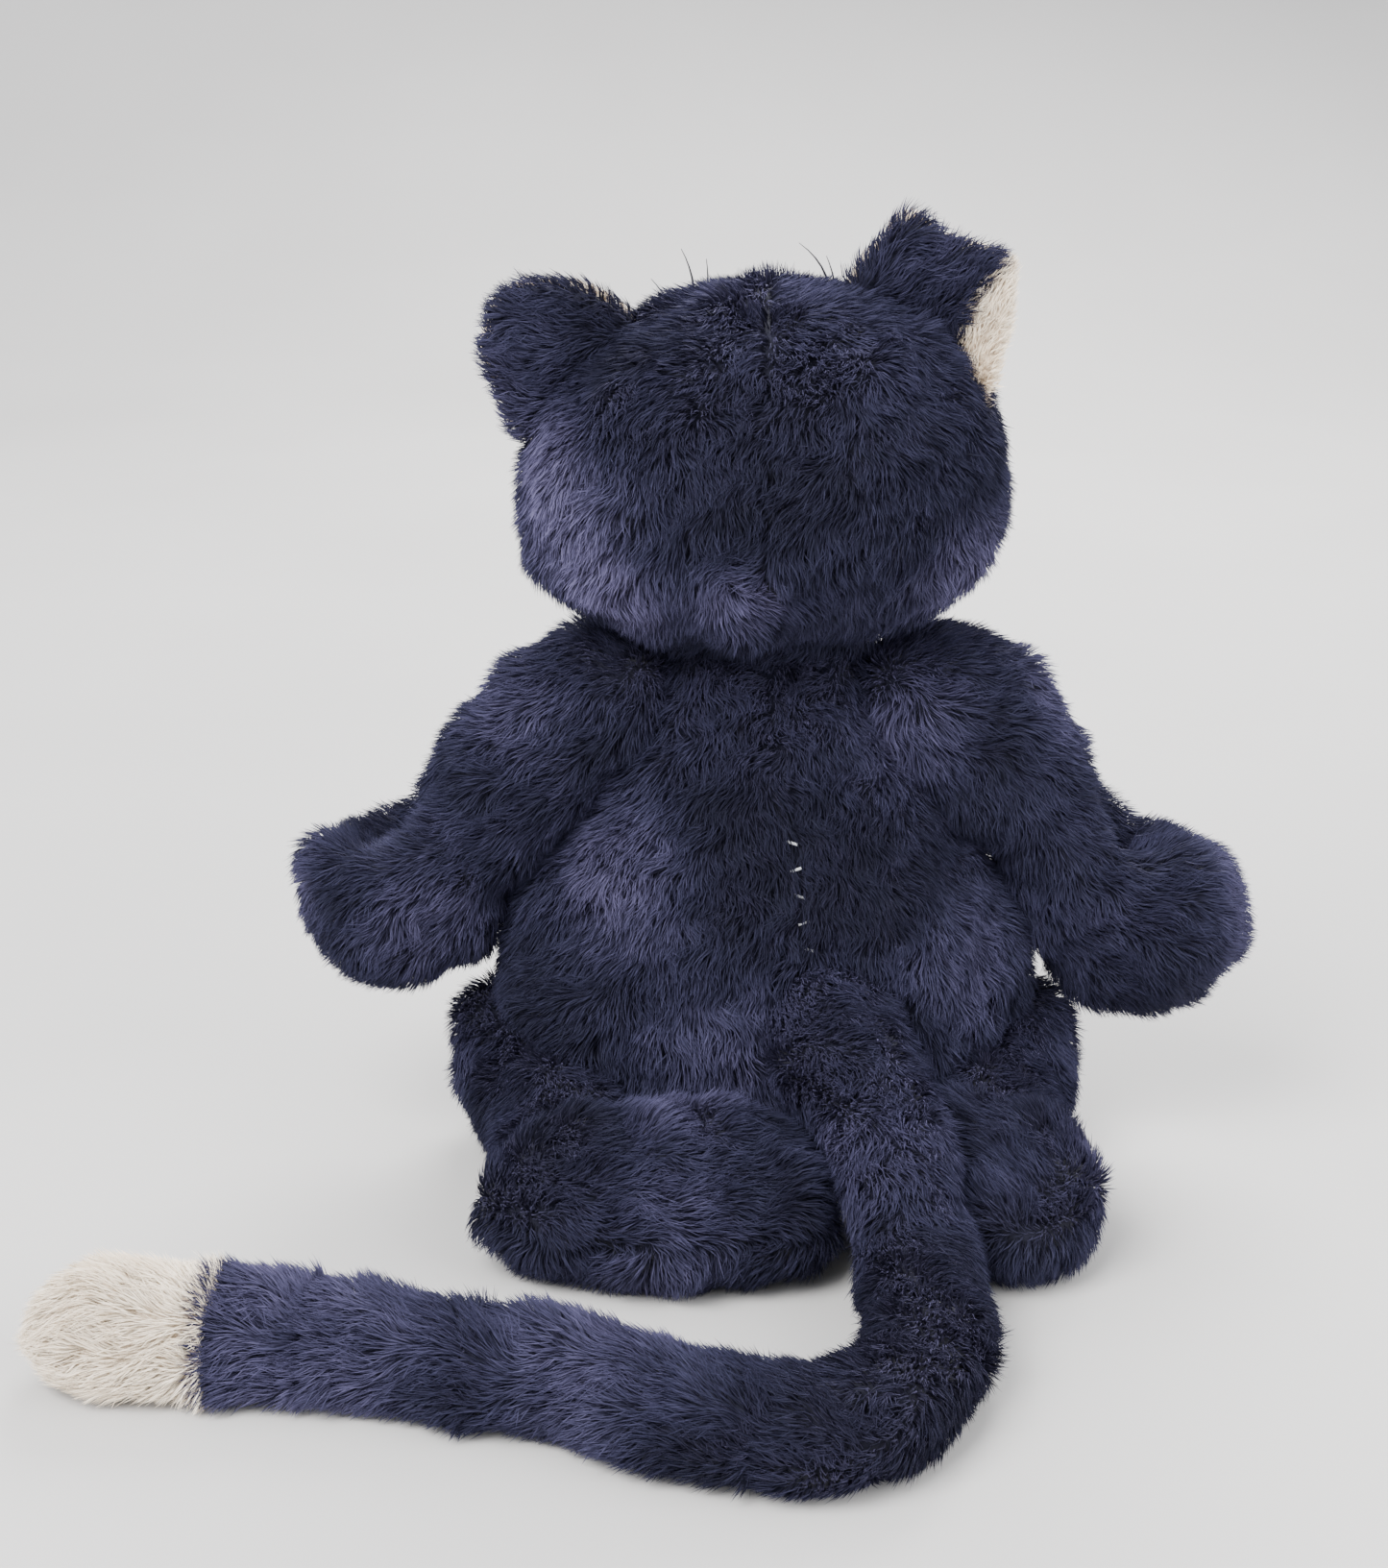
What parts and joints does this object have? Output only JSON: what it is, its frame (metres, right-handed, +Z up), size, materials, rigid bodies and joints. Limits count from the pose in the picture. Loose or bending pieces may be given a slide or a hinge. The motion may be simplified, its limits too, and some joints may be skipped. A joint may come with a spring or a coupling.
{
  "type": "plush cat",
  "caption": "Sitting plush cat with a round head, rounded ears, short soft arms, folded legs and a very long tail with a pale tip.",
  "frame": {"origin": "centre of the flat seat, on the surface that the cat sits on", "axes": "+Z up, the cat faces -Y, +X towards the cat's left arm"},
  "size_m": [0.4094, 0.32, 0.352],
  "materials": {
    "navy_plush": "matte",
    "cream_plush": "matte",
    "stuffing": "matte",
    "bag_cloth": "matte",
    "pellets": "satin",
    "eye_plastic": "gloss",
    "nose_plastic": "satin",
    "washer_plastic": "matte",
    "whisker_nylon": "satin",
    "pale_thread": "matte",
    "dark_thread": "matte"
  },
  "bodies": {
    "torso": {"torso_front": "navy_plush", "torso_back_left": "navy_plush", "torso_back_right": "navy_plush", "seat_base": "navy_plush", "torso_stuffing": "stuffing", "pellet_bag": "bag_cloth", "bean_pellets": "pellets", "closing_seam_thread": "pale_thread"},
    "neck": {"neck_stuffing_plug": "stuffing"},
    "head": {"head_back_left": "navy_plush", "head_back_right": "navy_plush", "face_left": "navy_plush", "face_right": "navy_plush", "head_stuffing": "stuffing", "muzzle_pad": "cream_plush", "left_eye": "eye_plastic", "right_eye": "eye_plastic", "nose": "nose_plastic", "eye_washers": "washer_plastic", "nose_washer": "washer_plastic", "mouth_thread": "dark_thread", "muzzle_whiskers": "whisker_nylon", "brow_whiskers": "whisker_nylon"},
    "left_ear": {"left_ear_back": "navy_plush", "left_ear_lining": "cream_plush"},
    "right_ear": {"right_ear_back": "navy_plush", "right_ear_lining": "cream_plush"},
    "left_shoulder": {"left_shoulder_plug": "stuffing"},
    "left_arm": {"left_arm_cover": "navy_plush", "left_arm_stuffing": "stuffing"},
    "left_leg": {"left_leg_cover": "navy_plush", "left_leg_stuffing": "stuffing", "left_foot_sole": "navy_plush", "left_foot_cover": "navy_plush", "left_foot_stuffing": "stuffing"},
    "right_shoulder": {"right_shoulder_plug": "stuffing"},
    "right_arm": {"right_arm_cover": "navy_plush", "right_arm_stuffing": "stuffing"},
    "right_leg": {"right_leg_cover": "navy_plush", "right_leg_stuffing": "stuffing", "right_foot_sole": "navy_plush", "right_foot_cover": "navy_plush", "right_foot_stuffing": "stuffing"},
    "tail_root": {"tail_root_cover": "navy_plush", "tail_root_stuffing": "stuffing"},
    "tail_1": {"tail_1_cover": "navy_plush", "tail_1_stuffing": "stuffing"},
    "tail_2": {"tail_2_cover": "navy_plush", "tail_2_stuffing": "stuffing"},
    "tail_3": {"tail_3_cover": "navy_plush", "tail_3_stuffing": "stuffing"},
    "tail_4": {"tail_4_cover": "navy_plush", "tail_4_stuffing": "stuffing", "tail_tip_cover": "cream_plush", "tail_tip_stuffing": "stuffing"}
  },
  "joints": [
    {"name": "neck_nod", "type": "hinge", "parent": "torso", "child": "neck", "pos_m": [0, 0, 0.212], "axis": [1, 0, 0], "range_deg": [-15, 18], "stiffness_Nm_per_rad": 1.5},
    {"name": "neck_turn", "type": "hinge", "parent": "neck", "child": "head", "pos_m": [0, 0, 0.212], "axis": [0, 0, 1], "range_deg": [-60, 60], "stiffness_Nm_per_rad": 0.4},
    {"name": "left_ear_fold", "type": "hinge", "parent": "head", "child": "left_ear", "pos_m": [0.06476, 0, 0.29289], "axis": [-0.5948, 0, 0.8039], "range_deg": [-20, 20], "stiffness_Nm_per_rad": 0.05},
    {"name": "right_ear_fold", "type": "hinge", "parent": "head", "child": "right_ear", "pos_m": [-0.0529, 0, 0.31047], "axis": [-0.9171, 0, -0.3987], "range_deg": [-20, 20], "stiffness_Nm_per_rad": 0.05},
    {"name": "left_shoulder_lift", "type": "hinge", "parent": "torso", "child": "left_shoulder", "pos_m": [0.058, 0, 0.175], "axis": [0, -1, 0], "range_deg": [-2, 65], "stiffness_Nm_per_rad": 0.4},
    {"name": "left_shoulder_swing", "type": "hinge", "parent": "left_shoulder", "child": "left_arm", "pos_m": [0.058, 0, 0.175], "axis": [0, 0, -1], "range_deg": [-14, 18], "stiffness_Nm_per_rad": 0.4},
    {"name": "left_hip_swing", "type": "hinge", "parent": "torso", "child": "left_leg", "pos_m": [0.078, -0.008, 0.0283], "axis": [0, 0, -1], "range_deg": [0, 105]},
    {"name": "right_shoulder_lift", "type": "hinge", "parent": "torso", "child": "right_shoulder", "pos_m": [-0.058, 0, 0.175], "axis": [0, 1, 0], "range_deg": [-2, 65], "stiffness_Nm_per_rad": 0.4},
    {"name": "right_shoulder_swing", "type": "hinge", "parent": "right_shoulder", "child": "right_arm", "pos_m": [-0.058, 0, 0.175], "axis": [0, 0, 1], "range_deg": [-14, 18], "stiffness_Nm_per_rad": 0.4},
    {"name": "right_hip_swing", "type": "hinge", "parent": "torso", "child": "right_leg", "pos_m": [-0.078, -0.008, 0.0283], "axis": [0, 0, 1], "range_deg": [0, 105]},
    {"name": "tail_lift", "type": "hinge", "parent": "torso", "child": "tail_root", "pos_m": [-0.024, 0.057, 0.066], "axis": [1, 0, 0], "range_deg": [0, 40]},
    {"name": "tail_sweep", "type": "hinge", "parent": "tail_root", "child": "tail_1", "pos_m": [-0.048, 0.145, 0.0198], "axis": [0, 0, 1], "range_deg": [-12, 30]},
    {"name": "tail_curl_1", "type": "hinge", "parent": "tail_1", "child": "tail_2", "pos_m": [-0.036, 0.216, 0.0158], "axis": [0, 0, 1], "range_deg": [-8, 25]},
    {"name": "tail_curl_2", "type": "hinge", "parent": "tail_2", "child": "tail_3", "pos_m": [0.06, 0.205, 0.0158], "axis": [0, 0, 1], "range_deg": [-8, 25]},
    {"name": "tail_curl_3", "type": "hinge", "parent": "tail_3", "child": "tail_4", "pos_m": [0.125, 0.186, 0.0158], "axis": [0, 0, 1], "range_deg": [-8, 25]}
  ],
  "couplings": [
    {"joint": "tail_curl_2", "follows": "tail_curl_1", "ratio": 1},
    {"joint": "tail_curl_3", "follows": "tail_curl_1", "ratio": 1}
  ]
}
